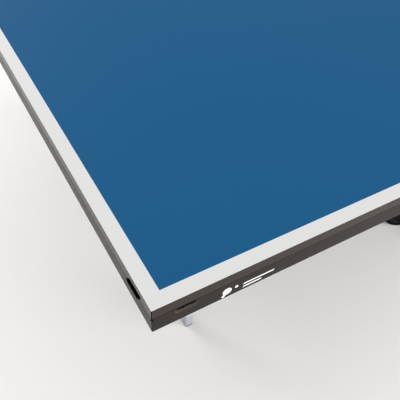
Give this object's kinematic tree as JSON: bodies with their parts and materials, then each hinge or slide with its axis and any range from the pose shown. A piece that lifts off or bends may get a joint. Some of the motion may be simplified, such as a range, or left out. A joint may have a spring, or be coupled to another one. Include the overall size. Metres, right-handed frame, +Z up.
{
  "type": "table tennis table",
  "caption": "Roll-away table tennis table with blue halves, white lines, anthracite edge frame, folding silver legs, caster trolley and net.",
  "frame": {"origin": "on the floor, under the middle of the net", "axes": "+X along the table's length towards half b, +Y across its width, +Z up"},
  "size_m": [2.74, 1.886, 0.9125],
  "materials": {
    "playing_surface": "matte blue lacquer with white lines on wood board",
    "edge_band": "satin plastic edging",
    "frame_coating": "matte anthracite powder coat",
    "silver_coating": "silver grey powder coat",
    "zinc_plate": "zinc plated sheet",
    "fastener_steel": "zinc plated",
    "knob_plastic": "glossy black plastic on a steel pin",
    "black_plastic": "moulded black plastic",
    "foot_plastic": "moulded light grey plastic",
    "caster_tread": "black rubber on a plastic rim",
    "caster_body": "black glass filled plastic",
    "brake_plastic": "red moulded pedal",
    "post_coating": "dark powder coat",
    "net_mesh": "knotted dark cord",
    "net_tape": "white cotton tape"
  },
  "bodies": {
    "trolley": {"base_rails": "silver_coating", "uprights": "silver_coating", "cross_tubes": "silver_coating", "pivot_plates": "zinc_plate", "net_carrier": "silver_coating", "tube_caps": "black_plastic", "caster_plates": "zinc_plate", "trolley_pins": "fastener_steel", "lock_housings": "zinc_plate"},
    "half_a": {"board_a": "playing_surface", "edge_band_a": "edge_band", "outer_end_rail_a": "frame_coating", "inner_end_rail_a": "frame_coating", "side_rails_a": "frame_coating", "slot_inserts_a": "black_plastic", "corner_gussets_a": "zinc_plate", "stiffener_beams_a": "silver_coating", "hinge_brackets_a": "zinc_plate", "screws_a": "fastener_steel"},
    "legs_a": {"leg_tubes_a": "silver_coating", "leg_crossbars_a": "silver_coating", "leg_pins_a": "fastener_steel", "leg_plugs_a": "black_plastic"},
    "struts_a": {"strut_bars_a": "silver_coating"},
    "foot_a_left": {"foot_a_left": "foot_plastic"},
    "lock_a_left": {"lock_a_left": "knob_plastic"},
    "foot_a_right": {"foot_a_right": "foot_plastic"},
    "lock_a_right": {"lock_a_right": "knob_plastic"},
    "half_b": {"board_b": "playing_surface", "edge_band_b": "edge_band", "outer_end_rail_b": "frame_coating", "inner_end_rail_b": "frame_coating", "side_rails_b": "frame_coating", "slot_inserts_b": "black_plastic", "corner_gussets_b": "zinc_plate", "stiffener_beams_b": "silver_coating", "hinge_brackets_b": "zinc_plate", "screws_b": "fastener_steel"},
    "legs_b": {"leg_tubes_b": "silver_coating", "leg_crossbars_b": "silver_coating", "leg_pins_b": "fastener_steel", "leg_plugs_b": "black_plastic"},
    "struts_b": {"strut_bars_b": "silver_coating"},
    "foot_b_left": {"foot_b_left": "foot_plastic"},
    "lock_b_left": {"lock_b_left": "knob_plastic"},
    "foot_b_right": {"foot_b_right": "foot_plastic"},
    "lock_b_right": {"lock_b_right": "knob_plastic"},
    "caster_1_fork": {"caster_1_fork": "caster_body"},
    "caster_1_wheels": {"caster_1_wheels": "caster_tread"},
    "caster_1_brake": {"caster_1_brake": "brake_plastic"},
    "caster_2_fork": {"caster_2_fork": "caster_body"},
    "caster_2_wheels": {"caster_2_wheels": "caster_tread"},
    "caster_3_fork": {"caster_3_fork": "caster_body"},
    "caster_3_wheels": {"caster_3_wheels": "caster_tread"},
    "caster_3_brake": {"caster_3_brake": "brake_plastic"},
    "caster_4_fork": {"caster_4_fork": "caster_body"},
    "caster_4_wheels": {"caster_4_wheels": "caster_tread"},
    "net": {"net_posts": "post_coating", "net_mesh": "net_mesh", "net_tape": "net_tape"}
  },
  "joints": [
    {"name": "tilt_a", "type": "hinge", "parent": "trolley", "child": "half_a", "pos_m": [-0.32, 0, 0.726], "axis": [0, 1, 0], "range_deg": [0, 90]},
    {"name": "leg_fold_a", "type": "hinge", "parent": "half_a", "child": "legs_a", "pos_m": [-1.114, 0, 0.726], "axis": [0, 1, 0], "range_deg": [-90, 0]},
    {"name": "strut_swing_a", "type": "hinge", "parent": "trolley", "child": "struts_a", "pos_m": [-0.32, 0, 0.656], "axis": [0, 1, 0], "range_deg": [0, 90]},
    {"name": "foot_screw_a_left", "type": "slide", "parent": "legs_a", "child": "foot_a_left", "axis": [0, 0, -1], "range_m": [0, 0.02]},
    {"name": "lock_pin_a_left", "type": "slide", "parent": "trolley", "child": "lock_a_left", "axis": [0, -1, 0], "range_m": [0, 0.008]},
    {"name": "foot_screw_a_right", "type": "slide", "parent": "legs_a", "child": "foot_a_right", "axis": [0, 0, -1], "range_m": [0, 0.02]},
    {"name": "lock_pin_a_right", "type": "slide", "parent": "trolley", "child": "lock_a_right", "axis": [0, 1, 0], "range_m": [0, 0.008]},
    {"name": "tilt_b", "type": "hinge", "parent": "trolley", "child": "half_b", "pos_m": [0.32, 0, 0.726], "axis": [0, -1, 0], "range_deg": [0, 90]},
    {"name": "leg_fold_b", "type": "hinge", "parent": "half_b", "child": "legs_b", "pos_m": [1.114, 0, 0.726], "axis": [0, -1, 0], "range_deg": [-90, 0]},
    {"name": "strut_swing_b", "type": "hinge", "parent": "trolley", "child": "struts_b", "pos_m": [0.32, 0, 0.656], "axis": [0, -1, 0], "range_deg": [0, 90]},
    {"name": "foot_screw_b_left", "type": "slide", "parent": "legs_b", "child": "foot_b_left", "axis": [0, 0, -1], "range_m": [0, 0.02]},
    {"name": "lock_pin_b_left", "type": "slide", "parent": "trolley", "child": "lock_b_left", "axis": [0, -1, 0], "range_m": [0, 0.008]},
    {"name": "foot_screw_b_right", "type": "slide", "parent": "legs_b", "child": "foot_b_right", "axis": [0, 0, -1], "range_m": [0, 0.02]},
    {"name": "lock_pin_b_right", "type": "slide", "parent": "trolley", "child": "lock_b_right", "axis": [0, 1, 0], "range_m": [0, 0.008]},
    {"name": "caster_1_swivel", "type": "hinge", "parent": "trolley", "child": "caster_1_fork", "pos_m": [-0.3465, -0.4075, 0.155], "axis": [0, 0, 1], "continuous": true},
    {"name": "caster_1_roll", "type": "hinge", "parent": "caster_1_fork", "child": "caster_1_wheels", "pos_m": [-0.36734, -0.39778, 0.0625], "axis": [-0.4226, -0.9063, 0], "continuous": true},
    {"name": "caster_1_brake_pedal", "type": "hinge", "parent": "caster_1_fork", "child": "caster_1_brake", "pos_m": [-0.38275, -0.3906, 0.1345], "axis": [-0.4226, -0.9063, 0], "range_deg": [0, 22]},
    {"name": "caster_2_swivel", "type": "hinge", "parent": "trolley", "child": "caster_2_fork", "pos_m": [0.3465, -0.4075, 0.155], "axis": [0, 0, 1], "continuous": true},
    {"name": "caster_2_roll", "type": "hinge", "parent": "caster_2_fork", "child": "caster_2_wheels", "pos_m": [0.32565, -0.39778, 0.0625], "axis": [-0.4226, -0.9063, 0], "continuous": true},
    {"name": "caster_3_swivel", "type": "hinge", "parent": "trolley", "child": "caster_3_fork", "pos_m": [0.3465, 0.4075, 0.155], "axis": [0, 0, 1], "continuous": true},
    {"name": "caster_3_roll", "type": "hinge", "parent": "caster_3_fork", "child": "caster_3_wheels", "pos_m": [0.32565, 0.41722, 0.0625], "axis": [-0.4226, -0.9063, 0], "continuous": true},
    {"name": "caster_3_brake_pedal", "type": "hinge", "parent": "caster_3_fork", "child": "caster_3_brake", "pos_m": [0.31025, 0.4244, 0.1345], "axis": [-0.4226, -0.9063, 0], "range_deg": [0, 22]},
    {"name": "caster_4_swivel", "type": "hinge", "parent": "trolley", "child": "caster_4_fork", "pos_m": [-0.3465, 0.4075, 0.155], "axis": [0, 0, 1], "continuous": true},
    {"name": "caster_4_roll", "type": "hinge", "parent": "caster_4_fork", "child": "caster_4_wheels", "pos_m": [-0.36734, 0.41722, 0.0625], "axis": [-0.4226, -0.9063, 0], "continuous": true},
    {"name": "net_lift", "type": "slide", "parent": "trolley", "child": "net", "axis": [0, 0, 1], "range_m": [0, 0.06]}
  ],
  "couplings": [
    {"joint": "leg_fold_a", "follows": "tilt_a", "ratio": -1},
    {"joint": "strut_swing_a", "follows": "tilt_a", "ratio": 1},
    {"joint": "leg_fold_b", "follows": "tilt_b", "ratio": -1},
    {"joint": "strut_swing_b", "follows": "tilt_b", "ratio": 1}
  ]
}
